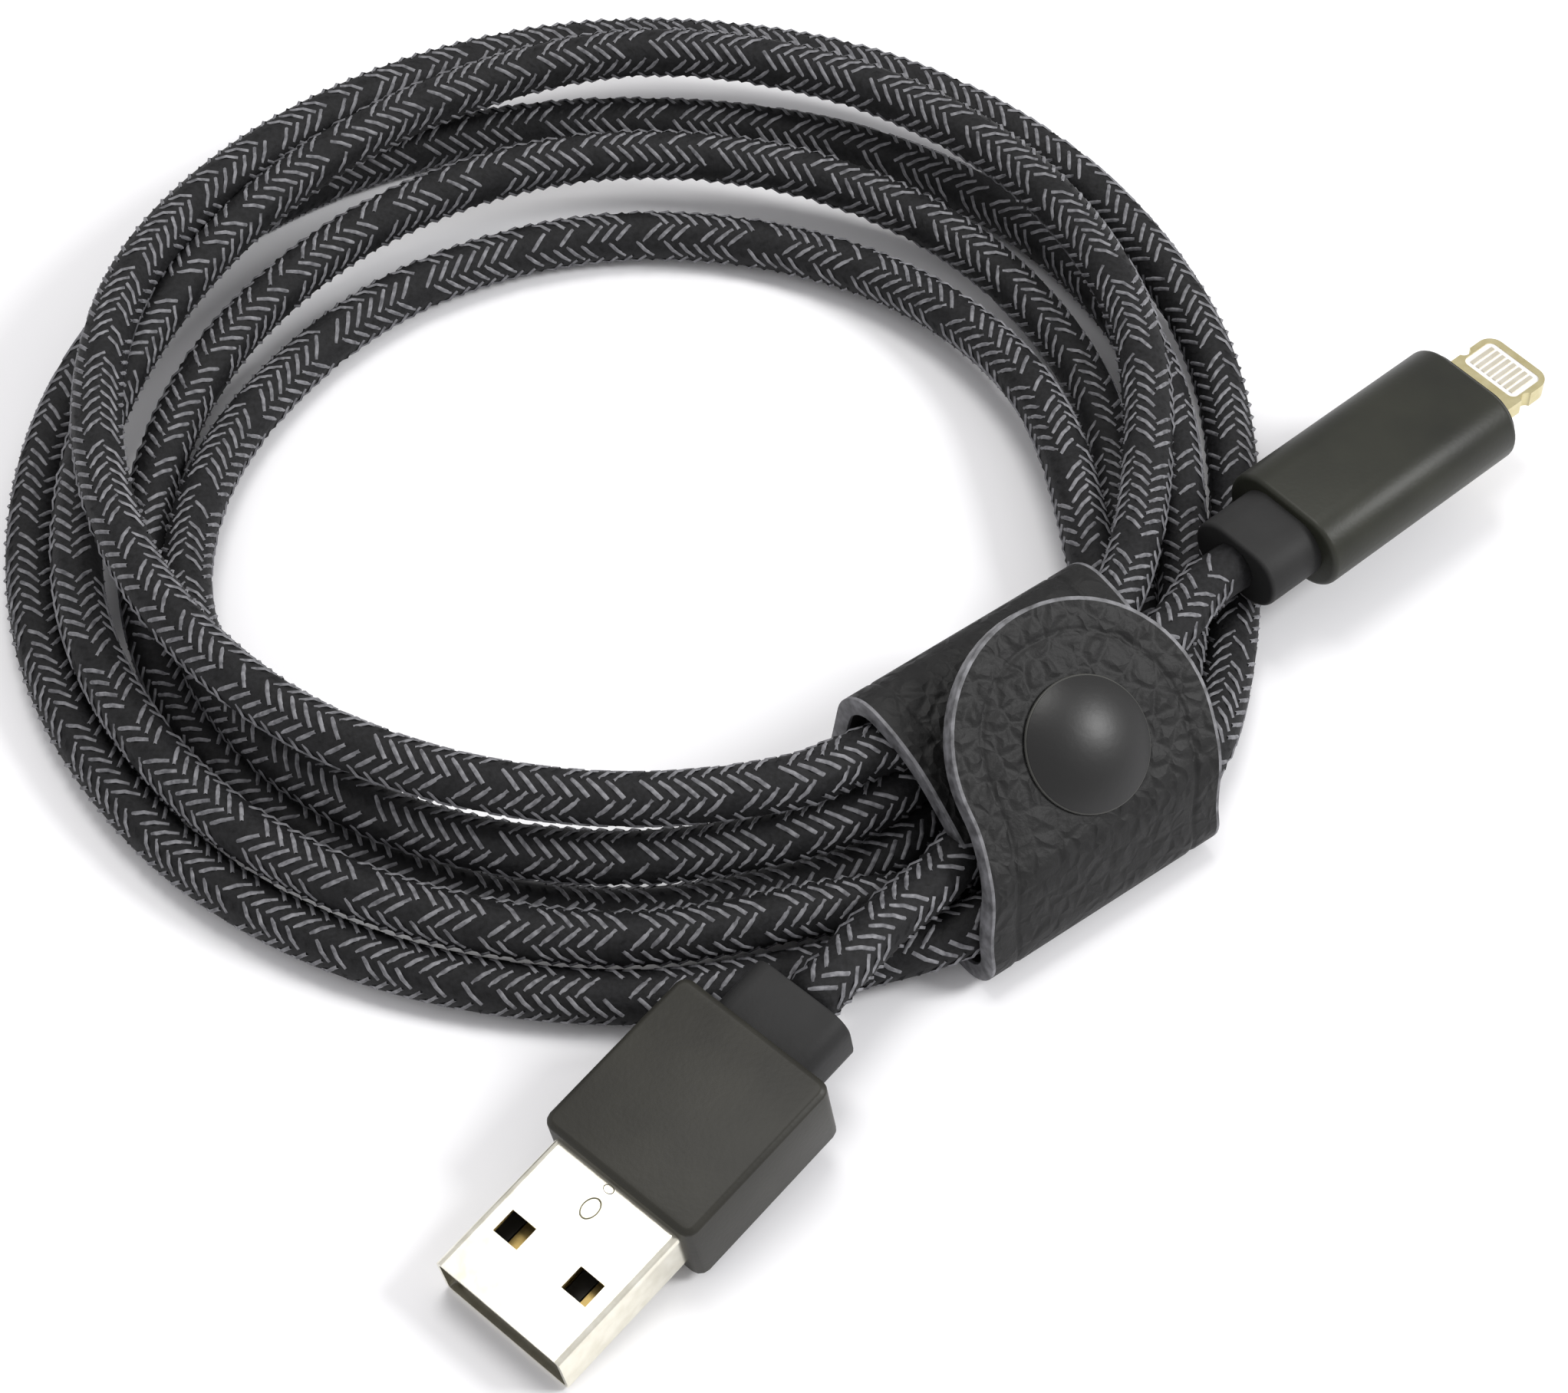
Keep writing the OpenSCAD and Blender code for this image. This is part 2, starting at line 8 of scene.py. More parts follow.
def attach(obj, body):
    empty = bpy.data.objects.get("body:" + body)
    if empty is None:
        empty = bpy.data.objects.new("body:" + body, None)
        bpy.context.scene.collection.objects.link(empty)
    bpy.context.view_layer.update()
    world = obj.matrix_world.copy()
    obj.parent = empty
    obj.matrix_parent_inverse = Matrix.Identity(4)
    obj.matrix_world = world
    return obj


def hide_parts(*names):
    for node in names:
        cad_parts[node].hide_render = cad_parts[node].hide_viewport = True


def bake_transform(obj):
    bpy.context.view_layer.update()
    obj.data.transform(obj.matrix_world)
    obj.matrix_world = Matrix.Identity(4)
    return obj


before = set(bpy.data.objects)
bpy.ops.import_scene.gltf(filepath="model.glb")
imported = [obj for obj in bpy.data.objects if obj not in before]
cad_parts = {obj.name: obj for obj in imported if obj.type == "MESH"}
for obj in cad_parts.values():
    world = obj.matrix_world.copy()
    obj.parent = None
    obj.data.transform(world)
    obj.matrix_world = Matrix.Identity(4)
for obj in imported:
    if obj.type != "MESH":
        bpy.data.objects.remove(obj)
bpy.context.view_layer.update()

MM = 0.001


def mm(*values):
    """A point written in millimetres, as metres."""
    return Vector(values) * MM


# ---------------------------------------------------------------- camera
camera = bpy.data.objects.new("camera", bpy.data.cameras.new("camera"))
bpy.context.collection.objects.link(camera)
camera.location = mm(-18.5, -168.7, 228)
camera.rotation_euler = (radians(38.5), 0, 0)
camera.data.lens = 85
camera.data.sensor_width = 36
camera.data.clip_start = 0.01
bpy.context.scene.camera = camera
bpy.context.scene.view_settings.view_transform = "Standard"


# ---------------------------------------------------------------- small helpers
def linear(colour):
    """An sRGB hex colour as the linear values a shader takes."""
    channels = [int(colour[i:i + 2], 16) / 255 for i in (1, 3, 5)]
    return [c / 12.92 if c <= 0.04045 else ((c + 0.055) / 1.055) ** 2.4 for c in channels] + [1.0]


def node(material, kind, inputs=None, **settings):
    """Adds one node and sets its settings and inputs; a link is given as a socket."""
    made = material.node_tree.nodes.new(kind)
    for name, value in settings.items():
        setattr(made, name, value)
    for name, value in (inputs or {}).items():
        if isinstance(value, bpy.types.NodeSocket):
            material.node_tree.links.new(value, made.inputs[name])
        else:
            made.inputs[name].default_value = value
    return made


def shader(name, colour, roughness, metallic=0.0):
    """A new material with its colour, roughness and metal set, and its shader node."""
    material = bpy.data.materials.new(name)
    material.use_nodes = True
    surface = material.node_tree.nodes["Principled BSDF"]
    surface.inputs["Base Color"].default_value = linear(colour)
    surface.inputs["Roughness"].default_value = roughness
    surface.inputs["Metallic"].default_value = metallic
    return material, surface


def into(material, socket, target):
    material.node_tree.links.new(socket, target)


def two_tone(material, fac, dark, light, low=0.3, high=0.7):
    """A colour ramp between two hex colours, driven by a factor socket."""
    ramp = node(material, "ShaderNodeValToRGB", {"Fac": fac})
    ramp.color_ramp.elements[0].position = low
    ramp.color_ramp.elements[0].color = linear(dark)
    ramp.color_ramp.elements[1].position = high
    ramp.color_ramp.elements[1].color = linear(light)
    return ramp.outputs["Color"]


def deselect():
    if bpy.context.object and bpy.context.object.mode != "OBJECT":
        bpy.ops.object.mode_set(mode="OBJECT")
    bpy.ops.object.select_all(action="DESELECT")


def take(piece):
    """Makes one piece the only selected and active object."""
    deselect()
    piece.select_set(True)
    bpy.context.view_layer.objects.active = piece


def apply(piece, kind, **settings):
    """Adds a modifier, sets it and applies it."""
    take(piece)
    modifier = piece.modifiers.new(kind.lower(), kind)
    for name, value in settings.items():
        setattr(modifier, name, value)
    bpy.ops.object.modifier_apply(modifier=modifier.name)


def smooth(piece, angle=35):
    take(piece)
    bpy.ops.object.shade_smooth_by_angle(angle=radians(angle))


def edit(piece, kind, test):
    """Selects the faces, edges or vertices that pass a test, and opens the piece for editing."""
    take(piece)
    mesh = piece.data
    bpy.ops.object.mode_set(mode="EDIT")
    bpy.ops.mesh.select_mode(type=kind)
    bpy.ops.mesh.select_all(action="DESELECT")
    bpy.ops.object.mode_set(mode="OBJECT")
    if kind == "FACE":
        for face in mesh.polygons:
            face.select = test(face.center, face.normal)
    elif kind == "EDGE":
        for edge in mesh.edges:
            a, b = (mesh.vertices[v].co for v in edge.vertices)
            edge.select = test(a, b)
    bpy.ops.object.mode_set(mode="EDIT")


def done():
    bpy.ops.object.mode_set(mode="OBJECT")


def settle(piece, place, body, *materials):
    """Puts a piece made about its own axis in its place, gives it materials and a body."""
    take(piece)
    piece.matrix_world = place @ piece.matrix_world
    bpy.ops.object.transform_apply(location=True, rotation=True, scale=True)
    for material in materials:
        piece.data.materials.append(material)
    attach(piece, body)
    return piece


# ---------------------------------------------------------------- the two plugs' places
CORD_D = 4.35
CORD_R = CORD_D / 2
USB_TILT, USB_YAW, USB_AT = 9.5, 47.5, mm(-37.6, -44.0, 0)
USB_OUT, USB_BODY_L, USB_BODY_W, USB_BODY_T, USB_BOOT_L = 12, 14.8, 14.2, 7.2, 4.6
TAB_TILT, TAB_YAW, TAB_AT = 1, 220.6, mm(36.5, 36.5, 8.3)
TAB_OUT, TAB_BODY_L, TAB_BODY_W, TAB_BODY_T, TAB_BOOT_L = 6.65, 20.8, 11.7, 6.9, 5.3


def plug_place(at, yaw, pitch):
    return Matrix.Translation(at) @ Matrix.Rotation(radians(yaw), 4, "Z") @ Matrix.Rotation(radians(pitch), 4, "Y")


usb_axis = plug_place(USB_AT, USB_YAW, -USB_TILT) @ Matrix.Translation(mm(0, 0, 2.25))
tab_axis = plug_place(TAB_AT, TAB_YAW, TAB_TILT)
usb_exit = usb_axis @ mm(USB_OUT + USB_BODY_L + USB_BOOT_L, 0, 0)
tab_exit = tab_axis @ mm(TAB_BODY_L + TAB_BOOT_L, 0, 0)
usb_way = (usb_axis.to_3x3() @ Vector((1, 0, 0))).normalized()
tab_way = (tab_axis.to_3x3() @ Vector((1, 0, 0))).normalized()

# ---------------------------------------------------------------- the cord's route
COIL_C = (-29.2, 31.3)
STRAP_YAW = radians(37)
E_W = Vector((cos(STRAP_YAW), sin(STRAP_YAW), 0))
E_R = Vector((sin(STRAP_YAW), -cos(STRAP_YAW), 0))
UP = Vector((0, 0, 1))


def at_strap(r, z, w):
    """A point by its distance outwards, its height and its place across the strap's width."""
    return (E_R * r + E_W * w + UP * z) * MM


def round_coil(azimuth, radius, z):
    a = radians(azimuth)
    return mm(COIL_C[0] + radius * cos(a), COIL_C[1] + radius * sin(a), z)


# each turn's radius and height, by the angle round the coil
AROUND = (0, 22, 45, 68, 92, 113, 135, 157, 178, 201, 225, 247, 269, 288)
TURNS = (
    # the first turn bridges the gap at the back and lies on the table elsewhere
    ((37.9, 2.25), (38.2, 2.6), (38.1, 3.8), (37.3, 5.2), (36.7, 6.0), (36.9, 6.0), (37.9, 5.2),
     (39.4, 3.8), (40.6, 2.6), (41.8, 2.25), (42.2, 2.25), (41.6, 2.25), (41.2, 2.25), (40.6, 2.7)),
    # the second is the tight inner one, and climbs onto the first at the front
    ((34.0, 5.0), (32.6, 4.2), (31.4, 3.2), (30.7, 2.4), (30.5, 2.25), (31.0, 2.25), (32.2, 2.25),
     (33.9, 2.2), (36.2, 2.9), (38.6, 4.4), (39.9, 5.8), (39.9, 6.7), (39.6, 7.3), (39.3, 7.6)),
    # the third rides high at the back and drops to the outside at the front
    ((39.8, 7.6), (42.2, 8.2), (44.4, 8.6), (46.0, 8.7), (46.8, 8.7), (45.9, 8.0), (45.0, 7.2),
     (44.8, 6.3), (45.6, 5.7), (46.6, 5.4), (46.6, 5.3), (45.9, 5.2), (45.3, 5.1), (44.4, 4.7)),
    # the fourth is the outside one on the table
    ((42.8, 3.6), (44.1, 2.8), (44.8, 2.3), (44.9, 2.25), (45.0, 2.25), (46.4, 2.25), (48.4, 2.25),
     (49.8, 2.25), (50.2, 2.25), (50.2, 2.25), (49.9, 2.25), (49.2, 2.25), (48.6, 2.25), (48.2, 2.4)),
    # the last crosses over the others on the left and runs on top of the pile
    ((47.4, 2.2), (49.2, 3.2), (50.4, 4.6), (50.8, 5.8), (50.6, 6.5), (49.9, 7.2), (48.8, 8.0),
     (47.0, 9.5), (44.3, 10.0), (41.6, 10.7), (39.6, 11.4), (38.4, 12.0), (38.0, 12.3), (38.0, 12.1)),
)
# where each pass goes through the strap: outwards and up, at its left edge, middle and right edge
PASSES = (
    ((3.7, 7.2), (-0.4, 5.9), (-3.2, 3.7)),
    ((-2.1, 3.7), (-4.8, 3.7), (-7.2, 4.3)),
    ((-4.2, 7.6), (-5.6, 7.6), (-6.4, 8.8)),
    ((2.3, 3.7), (1.8, 3.7), (1.1, 3.7)),
    ((6.6, 3.6), (6.2, 3.6), (5.5, 3.7)),
    ((-6.2, 11.3), (-3.9, 10.6), (-2.7, 8.4)),
)


def coil_route():
    """The whole cord from the USB-A boot, through the strap, round the coil and out again."""
    route = [usb_exit, usb_exit + 3 * MM * usb_way, mm(-11.2, -14.4, 7.6)]
    for number, slots in enumerate(PASSES):
        for (r, z), w in zip(slots, (-11.55, 0, 12)):
            route.append(at_strap(r, z, w))
        if number < len(TURNS):
            route += [round_coil(a, *place) for a, place in zip(AROUND, TURNS[number])]
    route[-1] = mm(8.6, 9.9, 8.4)
    return route + [mm(11.4, 12.7, 8.3), tab_exit + 3 * MM * tab_way, tab_exit]


def evenly(points, step):
    """A smooth curve through points, cut into equal steps."""
    p = np.array([tuple(q) for q in points])
    p = np.vstack([2 * p[0] - p[1], p, 2 * p[-1] - p[-2]])
    t = np.linspace(0, 1, 24, endpoint=False)[:, None]
    curve = []
    for i in range(1, len(p) - 2):
        a, b, c, d = p[i - 1:i + 3]
        k0, k1, k2 = (hypot(*(q - o)) ** 0.5 for o, q in ((a, b), (b, c), (c, d)))
        m1 = (b - a) / k0 - (c - a) / (k0 + k1) + (c - b) / k1
        m2 = (c - b) / k1 - (d - b) / (k1 + k2) + (d - c) / k2
        m1, m2 = m1 * k1, m2 * k1
        curve.append(b + m1 * t + (-3 * b + 3 * c - 2 * m1 - m2) * t ** 2 + (2 * b - 2 * c + m1 + m2) * t ** 3)
    curve = np.vstack(curve + [p[-2:-1]])
    for _ in range(3):
        curve[1:-1] = curve[1:-1] * 0.5 + (curve[:-2] + curve[2:]) * 0.25
    far = np.concatenate([[0], np.cumsum(np.linalg.norm(np.diff(curve, axis=0), axis=1))])
    even = np.linspace(0, far[-1], int(far[-1] / step) + 1)
    return np.column_stack([np.interp(even, far, curve[:, k]) for k in range(3)]), far[-1]


STEP = 0.6 * MM
centre, cord_length = evenly(coil_route(), STEP)


def carried_frames(line):
    """Two directions square to the line at each point, carried along without spinning."""
    ahead = np.gradient(line, axis=0)
    ahead /= np.linalg.norm(ahead, axis=1)[:, None]
    side = np.cross(ahead[0], (0, 0, 1.0))
    sides = []
    for direction in ahead:
        side = side - direction * np.dot(side, direction)
        side /= np.linalg.norm(side)
        sides.append(side)
    return np.array(sides), np.cross(ahead, np.array(sides))


side_of, lift_of = carried_frames(centre)
along_of = np.linspace(0, cord_length, len(centre))


def on_cord(along, angle, radius):
    """Points on a tube round the cord's line, by distance along it, angle round it and radius."""
    def sample(table):
        return np.stack([np.interp(along, along_of, table[:, k]) for k in range(3)], axis=-1)
    return sample(centre) + radius[..., None] * (
        np.cos(angle)[..., None] * sample(side_of) + np.sin(angle)[..., None] * sample(lift_of))


# ---------------------------------------------------------------- the braided sleeve
COLUMNS = 8
ROW = 1.27 * MM
LEAN = radians(48)
uneven = np.random.default_rng(7)


def yarn_patches(across, length, rise, drop, skip):
    """Short arched yarns in a herringbone: columns lean left and right in turn."""
    rows = int((cord_length - 2 * ROW) / ROW)
    column, row = np.meshgrid(np.arange(COLUMNS), np.arange(rows), indexing="ij")
    kept = ~skip(column, row)
    column, row = column[kept], row[kept]
    lean = np.where(column % 2 == 0, LEAN, -LEAN)
    round_at = (column + 0.5) * 2 * pi / COLUMNS * CORD_R * MM
    along_at = (row + 1 + 0.5 * (column % 2)) * ROW
    t, q = np.meshgrid((-1, 0, 1), (-1, 0, 1), indexing="ij")
    t, q = t.ravel()[None], q.ravel()[None]
    length = length * uneven.uniform(0.86, 1.08, len(lean))[:, None]
    lean, round_at, along_at = lean[:, None], round_at[:, None], along_at[:, None]
    around = round_at + t * length / 2 * np.sin(lean) + q * across / 2 * np.cos(lean)
    along = along_at + t * length / 2 * np.cos(lean) - q * across / 2 * np.sin(lean)
    height = (CORD_R - 0.03) * MM + rise - drop * t ** 2 - 0.4 * across * q ** 2
    twist = along / cord_length * 2 * pi * 0.8
    points = on_cord(along, around / (CORD_R * MM) + twist, height)
    corner = np.array([[0, 1, 4, 3], [1, 2, 5, 4], [3, 4, 7, 6], [4, 5, 8, 7]])
    faces = (np.arange(len(lean)) * 9)[:, None, None] + corner[None]
    flip = (lean[:, 0] > -9)
    faces[flip] = faces[flip][:, :, ::-1]
    return points.reshape(-1, 3), faces.reshape(-1, 4)


def core_tube(sides=12, step=1.3 * MM):
    """The dark core seen between the yarns, closed at both ends."""
    rings = int(cord_length / step) + 1
    along, angle = np.meshgrid(np.linspace(0, cord_length, rings), np.arange(sides) * 2 * pi / sides, indexing="ij")
    points = on_cord(along, angle, np.full(along.shape, (CORD_R - 0.16) * MM)).reshape(-1, 3)
    i, k = np.meshgrid(np.arange(rings - 1), np.arange(sides), indexing="ij")
    j = (k + 1) % sides
    quads = np.stack([i * sides + k, i * sides + j, (i + 1) * sides + j, (i + 1) * sides + k], axis=-1)
    ends = [list(range(sides))[::-1], [(rings - 1) * sides + k for k in range(sides)]]
    return points, quads.reshape(-1, 4).tolist() + ends


def cord_materials():
    # near-black sleeve yarn: dull fibres, a little uneven in tone
    dark, surface = shader("braid yarn black", "#161617", 0.7)
    place = node(dark, "ShaderNodeTexCoord")
    fibre = node(dark, "ShaderNodeTexNoise", {"Vector": place.outputs["Object"], "Scale": 2600.0, "Detail": 3.0})
    into(dark, two_tone(dark, fibre.outputs["Fac"], "#0a0a0b", "#1b1b1d"), surface.inputs["Base Color"])
    bump = node(dark, "ShaderNodeBump", {"Height": fibre.outputs["Fac"], "Strength": 0.5, "Distance": 0.0001})
    into(dark, bump.outputs["Normal"], surface.inputs["Normal"])
    surface.inputs["Specular IOR Level"].default_value = 0.3
    # pale grey tracer yarn, one in the middle of most floats
    grey, surface = shader("braid yarn grey", "#77777a", 0.65)
    place = node(grey, "ShaderNodeTexCoord")
    fibre = node(grey, "ShaderNodeTexNoise", {"Vector": place.outputs["Object"], "Scale": 1800.0, "Detail": 2.0})
    into(grey, two_tone(grey, fibre.outputs["Fac"], "#4e4e52", "#858589"), surface.inputs["Base Color"])
    bump = node(grey, "ShaderNodeBump", {"Height": fibre.outputs["Fac"], "Strength": 0.4, "Distance": 0.0001})
    into(grey, bump.outputs["Normal"], surface.inputs["Normal"])
    return dark, grey


def braided_cord():
    """One tube of core, black floats and grey tracers that follows the route."""
    core_points, core_faces = core_tube()
    black_points, black_faces = yarn_patches(1.02 * MM, 2.3 * MM, 0, 0.26 * MM, lambda c, r: r < 0)
    grey_points, grey_faces = yarn_patches(
        0.34 * MM, 2.25 * MM, 0.08 * MM, 0.15 * MM,
        lambda c, r: np.where(c % 2 == 0, (r + c // 2) % 8 == 5, (r - c // 2) % 8 == 2)
        | (uneven.uniform(size=c.shape) < 0.06))
    points = np.vstack([core_points, black_points, grey_points])
    faces = core_faces + (black_faces + len(core_points)).tolist()
    first_grey = len(faces)
    faces += (grey_faces + len(core_points) + len(black_points)).tolist()
    mesh = bpy.data.meshes.new("braided_cord")
    mesh.from_pydata(points.tolist(), [], faces)
    piece = bpy.data.objects.new("braided_cord", mesh)
    bpy.context.collection.objects.link(piece)
    for material in cord_materials():
        mesh.materials.append(material)
    slots = np.zeros(len(faces), dtype=np.int32)
    slots[first_grey:] = 1
    mesh.polygons.foreach_set("material_index", slots)
    mesh.polygons.foreach_set("use_smooth", np.ones(len(faces), dtype=bool))
    mesh.update()
    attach(piece, "cable")
    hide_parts("cord_coil", "usb_tail", "tab_tail")
    return piece


cord = braided_cord()

# ---------------------------------------------------------------- the leather strap
HIDE = 1.4
FOLD_R, FOLD_TURN, FOLD_RISE = 3.2, 105, 3.5
FLAP_R, FLAP_TURN, FLAP_FLAT = 6, 35, 4.5
HALF = 11
CAP_R, CAP_H = 5.125, 1.8


def turtle(start, heading, moves, step=0.6):
    """Side-profile stations (r, z, heading) along straights (length,) and arcs (radius, turn)."""
    r, z = start
    stations = [(r, z, heading)]
    for move in moves:
        if len(move) == 1:
            count = max(1, round(move[0] / step))
            for _ in range(count):
                r += move[0] / count * cos(radians(heading))
                z += move[0] / count * sin(radians(heading))
                stations.append((r, z, heading))
        else:
            radius, turn = move
            count = max(2, round(radius * radians(abs(turn)) / step))
            for _ in range(count):
                chord = 2 * radius * sin(radians(abs(turn)) / count / 2)
                heading += turn / count / 2
                r += chord * cos(radians(heading))
                z += chord * sin(radians(heading))
                heading += turn / count / 2
                stations.append((r, z, heading))
    return stations


# distances in from the strap's edge where the surface has a row of points: the crease is at 2.5
ROWS = (0, 0.28, 1.2, 2.1, 2.3, 2.5, 2.7, 2.9, 4.4, 6.2, 8.0, 9.6)
CREASE = {2.3: 0.05, 2.5: 0.14, 2.7: 0.05}
QS = [-(HALF - d) for d in ROWS] + [0] + [HALF - d for d in reversed(ROWS)]
DIPS = [CREASE.get(d, 0) for d in ROWS] + [0] + [CREASE.get(d, 0) for d in reversed(ROWS)]


def leather_sheet(name, stations, middle, sign, round_end=False):
    """A sheet on the strap's outer face; sign is +1 where the inside is left of the way forward."""
    rows = []
    for number, (r, z, heading) in enumerate(stations):
        inward = (-sin(radians(heading)) * sign, cos(radians(heading)) * sign)
        w0 = middle(number / (len(stations) - 1))
        rows.append([at_strap(r + inward[0] * dip, z + inward[1] * dip, w0 + q) for q, dip in zip(QS, DIPS)])
    if round_end:
        r, z, heading = stations[-1]
        for step in range(1, 17):
            a = radians(90 * step / 16)
            line = []
            for q, dip in zip(QS, DIPS):
                ahead = abs(q) * sin(a)
                curl = 0.0045 * ahead ** 2
                line.append(at_strap(
                    r + ahead * cos(radians(heading)) - sin(radians(heading)) * sign * (dip + curl),
                    z + ahead * sin(radians(heading)) + cos(radians(heading)) * sign * (dip + curl),
                    middle(1) + q * cos(a)))
            rows.append(line)
    wide = len(QS)
    faces = []
    for i in range(len(rows) - 1):
        for k in range(wide - 1):
            faces.append((i * wide + k, i * wide + k + 1, (i + 1) * wide + k + 1, (i + 1) * wide + k))
    mesh = bpy.data.meshes.new(name)
    mesh.from_pydata([tuple(p) for row in rows for p in row], [], faces)
    piece = bpy.data.objects.new(name, mesh)
    bpy.context.collection.objects.link(piece)
    # the outermost strip along each edge gets the light edge material: edge paint, lightened as a painted highlight on
    # the edge's corners
    for face in mesh.polygons:
        if face.index % (wide - 1) in (0, wide - 2):
            face.material_index = 2
    take(piece)
    bpy.ops.object.mode_set(mode="EDIT")
    bpy.ops.mesh.select_all(action="SELECT")
    bpy.ops.mesh.remove_doubles(threshold=0.00003)
    done()
    return piece


def leather_materials():
    # pebbled black hide: small raised grains with a soft shine on their tops
    hide, surface = shader("pebbled black leather", "#141414", 0.55)
    place = node(hide, "ShaderNodeTexCoord")
    warp = node(hide, "ShaderNodeTexNoise", {"Vector": place.outputs["Object"], "Scale": 500.0, "Detail": 2.0})
    wander = node(hide, "ShaderNodeMixRGB", {"Fac": 0.0011, "Color1": place.outputs["Object"],
                                             "Color2": warp.outputs["Color"]}, blend_type="ADD")
    grain = node(hide, "ShaderNodeTexVoronoi", {"Vector": wander.outputs["Color"], "Scale": 640.0},
                 feature="DISTANCE_TO_EDGE")
    pebble = node(hide, "ShaderNodeMapRange", {"Value": grain.outputs["Distance"], "From Min": 0.0, "From Max": 0.42},
                  interpolation_type="SMOOTHSTEP")
    fine = node(hide, "ShaderNodeTexNoise", {"Vector": place.outputs["Object"], "Scale": 3200.0, "Detail": 3.0})
    into(hide, two_tone(hide, warp.outputs["Fac"], "#0a0a0a", "#161616"), surface.inputs["Base Color"])
    bump = node(hide, "ShaderNodeBump", {"Height": pebble.outputs["Result"], "Strength": 0.62,
                                         "Distance": 0.00022})
    second = node(hide, "ShaderNodeBump", {"Height": fine.outputs["Fac"], "Strength": 0.35, "Distance": 0.0001,
                                           "Normal": bump.outputs["Normal"]})
    into(hide, second.outputs["Normal"], surface.inputs["Normal"])
    surface.inputs["Specular IOR Level"].default_value = 0.32
    # smoother lining leather on the inside
    lining, surface = shader("black lining leather", "#1d1c1b", 0.65)
    place = node(lining, "ShaderNodeTexCoord")
    nap = node(lining, "ShaderNodeTexNoise", {"Vector": place.outputs["Object"], "Scale": 1200.0, "Detail": 4.0})
    into(lining, two_tone(lining, nap.outputs["Fac"], "#151413", "#242322"), surface.inputs["Base Color"])
    bump = node(lining, "ShaderNodeBump", {"Height": nap.outputs["Fac"], "Strength": 0.3, "Distance": 0.0001})
    into(lining, bump.outputs["Normal"], surface.inputs["Normal"])
    # cut edges: grey edge paint with a random worn mottle, its light grey partly a painted highlight on the corners of
    # each edge
    edge, surface = shader("edge paint and painted highlight", "#5c5c5e", 0.55)
    place = node(edge, "ShaderNodeTexCoord")
    wear = node(edge, "ShaderNodeTexNoise", {"Vector": place.outputs["Object"], "Scale": 900.0, "Detail": 3.0})
    into(edge, two_tone(edge, wear.outputs["Fac"], "#3c3c3e", "#7e7e82"), surface.inputs["Base Color"])
    bump = node(edge, "ShaderNodeBump", {"Height": wear.outputs["Fac"], "Strength": 0.3, "Distance": 0.0001})
    into(edge, bump.outputs["Normal"], surface.inputs["Normal"])
    return hide, lining, edge


HIDE_LOOKS = leather_materials()


def finish_leather(piece, sign):
    """Gives the sheet its two leathers' thickness, its light edge of edge paint and painted highlight, and softened
    edges.
    """
    for material in HIDE_LOOKS:
        piece.data.materials.append(material)
    take(piece)
    bpy.ops.object.mode_set(mode="EDIT")
    bpy.ops.mesh.select_all(action="SELECT")
    bpy.ops.mesh.normals_make_consistent(inside=False)
    done()
    outward = sum((f.normal.dot(sign(f.center)) * f.area for f in piece.data.polygons))
    if outward < 0:
        bpy.ops.object.mode_set(mode="EDIT")
        bpy.ops.mesh.select_all(action="SELECT")
        bpy.ops.mesh.flip_normals()
        done()
    apply(piece, "SOLIDIFY", thickness=HIDE * MM, offset=-1, use_even_offset=True, use_rim=True,
          material_offset=1, material_offset_rim=1)
    apply(piece, "BEVEL", width=0.14 * MM, segments=2, limit_method="ANGLE", angle_limit=radians(75))
    smooth(piece, 60)


fold_stations = turtle((4.0, 0), 0, [(3.4,), (FOLD_R, FOLD_TURN), (FOLD_RISE,), (FLAP_R, FLAP_TURN), (FLAP_FLAT,)])
snap_r, snap_z, snap_heading = fold_stations[-1]
snap_n = (sin(radians(snap_heading)), -cos(radians(snap_heading)))
fold_points = turtle((7.4, 0), 0, [(FOLD_R, FOLD_TURN)])


def ease(t):
    return t * t * (3 - 2 * t)


def flap_middle(t):
    return -1 + 2.5 * ease(max(0.0, min(1.0, (t - 0.45) / 0.55)))


flap = leather_sheet("leather_flap", fold_stations, flap_middle, 1, round_end=True)
loop_mid = Vector((0, 0, 7 * MM))
finish_leather(flap, lambda c: c - loop_mid)
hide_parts("strap_flap", "flap_lining")

REAR_R, REAR_LEAN, REAR_RISE = 3.4, 85, 8.46
base_stations = turtle((4.0, 0), 180, [(11.6,), (REAR_R, -95), (REAR_RISE,), (3.2, -95), (14, -30), (6.2,)])
base = leather_sheet("leather_base", base_stations, lambda t: -1 + 2.5 * ease(t), -1)
finish_leather(base, lambda c: c - loop_mid)
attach(base, "cable")
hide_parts("strap_band", "strap_lining")

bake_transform(flap)


# ---------------------------------------------------------------- materials of the hard parts
def moulded(name, dark, light, roughness, scale, strength):
    """Moulded plastic: a slow mottle in the colour and a fine spark-eroded skin."""
    material, surface = shader(name, dark, roughness)
    place = node(material, "ShaderNodeTexCoord")
    mottle = node(material, "ShaderNodeTexNoise", {"Vector": place.outputs["Object"], "Scale": 160.0, "Detail": 3.0})
    skin = node(material, "ShaderNodeTexNoise", {"Vector": place.outputs["Object"], "Scale": scale, "Detail": 2.0})
    into(material, two_tone(material, mottle.outputs["Fac"], dark, light), surface.inputs["Base Color"])
    bump = node(material, "ShaderNodeBump", {"Height": skin.outputs["Fac"], "Strength": strength,
                                             "Distance": 0.00005})
    into(material, bump.outputs["Normal"], surface.inputs["Normal"])
    surface.inputs["Specular IOR Level"].default_value = 0.3
    return material


